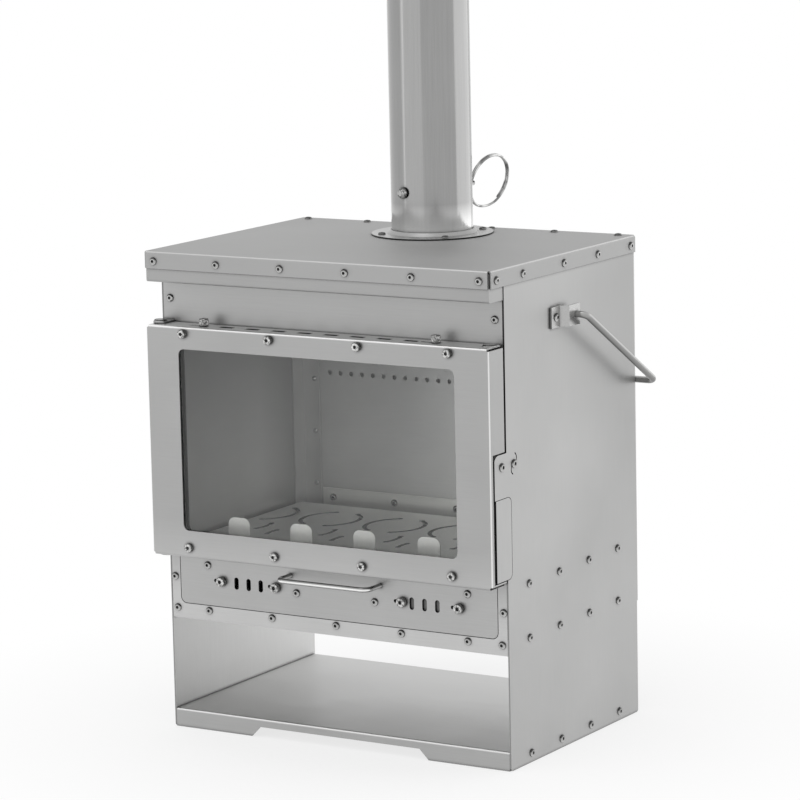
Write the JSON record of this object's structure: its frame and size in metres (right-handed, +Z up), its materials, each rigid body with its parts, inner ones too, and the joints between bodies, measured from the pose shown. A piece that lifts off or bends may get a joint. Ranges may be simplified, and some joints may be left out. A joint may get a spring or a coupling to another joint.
{
  "type": "tent wood stove",
  "caption": "Folded sheet-metal wood stove with glazed door, ash drawer with air shutters, storage bay, hooded lid, wire bail and flue pipe with damper.",
  "frame": {"origin": "middle of the whole outline on the ground, under the stove", "axes": "+Z up along the flue, -Y out of the fire door, +X to the stove's right seen from the front"},
  "size_m": [0.4266, 0.337, 0.78],
  "materials": {
    "front_steel": "brushed along the length, slightly worn",
    "panel_steel": "satin sheet",
    "fire_steel": "satin, in the shade of the firebox",
    "pipe_steel": "rolled, brushed round the pipe",
    "bright_steel": "drawn wire and strip, semi-bright",
    "bolt_steel": "turned and pressed fasteners",
    "window_glass": "grey-tinted heat-proof pane",
    "glass_tape": "woven glass-fibre tape"
  },
  "bodies": {
    "stove_body": {"left_side_panel": "panel_steel", "right_side_panel": "panel_steel", "base_shelf": "front_steel", "drawer_bay_floor": "panel_steel", "drawer_runners": "panel_steel", "front_frame": "front_steel", "back_panel": "panel_steel", "lid": "panel_steel", "hood_tray": "front_steel", "firebox_floor": "fire_steel", "fire_grate": "fire_steel", "log_guard": "bright_steel", "left_liner": "fire_steel", "right_liner": "fire_steel", "back_liner": "fire_steel", "corner_posts": "fire_steel", "liner_rivets": "bright_steel", "liner_screws": "bright_steel", "baffle": "fire_steel", "hinge_ears": "front_steel", "hinge_pins": "bolt_steel", "latch_spring": "bright_steel", "latch_backing": "panel_steel", "latch_screws": "bolt_steel", "flue_collar": "pipe_steel", "collar_screws": "bolt_steel", "flue_pipe": "pipe_steel", "bail_brackets": "bright_steel", "bracket_screws": "bolt_steel", "lid_screws": "bolt_steel", "side_screws": "bolt_steel", "frame_screws": "bolt_steel", "back_screws": "bolt_steel"},
    "door": {"door_pan": "front_steel", "glass_tape": "glass_tape", "door_glass": "window_glass", "glass_clamp": "panel_steel", "door_bolts_top": "bolt_steel", "door_bolts_bottom": "bolt_steel", "door_nuts": "bolt_steel", "hinge_hole_plugs": "bolt_steel", "pull_pin": "bolt_steel", "pull_tabs": "panel_steel"},
    "airwash": {"airwash_slider": "panel_steel", "airwash_knobs": "bolt_steel"},
    "door_pull": {"pull_flap": "panel_steel"},
    "drawer": {"drawer_front": "front_steel", "drawer_tray": "panel_steel", "drawer_handle": "bright_steel", "handle_nuts": "bolt_steel", "drawer_screws": "bolt_steel"},
    "left_shutter": {"left_air_shutter": "panel_steel", "left_shutter_knobs": "bolt_steel"},
    "right_shutter": {"right_air_shutter": "panel_steel", "right_shutter_knobs": "bolt_steel"},
    "damper": {"damper_plate": "bright_steel", "damper_axle": "bolt_steel", "damper_nut": "bolt_steel", "damper_ring": "bright_steel"},
    "bail": {"bail_handle": "bright_steel"}
  },
  "joints": [
    {"name": "door_hinge", "type": "hinge", "parent": "stove_body", "child": "door", "pos_m": [-0.1825, -0.14983, 0.2905], "axis": [0, 0, -1], "range_deg": [0, 110]},
    {"name": "airwash_slide", "type": "slide", "parent": "door", "child": "airwash", "axis": [-1, 0, 0], "range_m": [0, 0.0146]},
    {"name": "pull_flap_hinge", "type": "hinge", "parent": "door", "child": "door_pull", "pos_m": [0.187, -0.15694, 0.2215], "axis": [0, 0, -1], "range_deg": [0, 80]},
    {"name": "drawer_slide", "type": "slide", "parent": "stove_body", "child": "drawer", "axis": [0, -1, 0], "range_m": [0, 0.2]},
    {"name": "left_shutter_slide", "type": "slide", "parent": "drawer", "child": "left_shutter", "axis": [-1, 0, 0], "range_m": [0, 0.008]},
    {"name": "right_shutter_slide", "type": "slide", "parent": "drawer", "child": "right_shutter", "axis": [-1, 0, 0], "range_m": [0, 0.008]},
    {"name": "damper_turn", "type": "hinge", "parent": "stove_body", "child": "damper", "pos_m": [0, 0.05776, 0.5175], "axis": [0.2011, 0.9796, 0], "range_deg": [-15, 75]},
    {"name": "bail_swing", "type": "hinge", "parent": "stove_body", "child": "bail", "pos_m": [0, -0.01474, 0.4155], "axis": [1, 0, 0], "range_deg": [0, 50]}
  ]
}
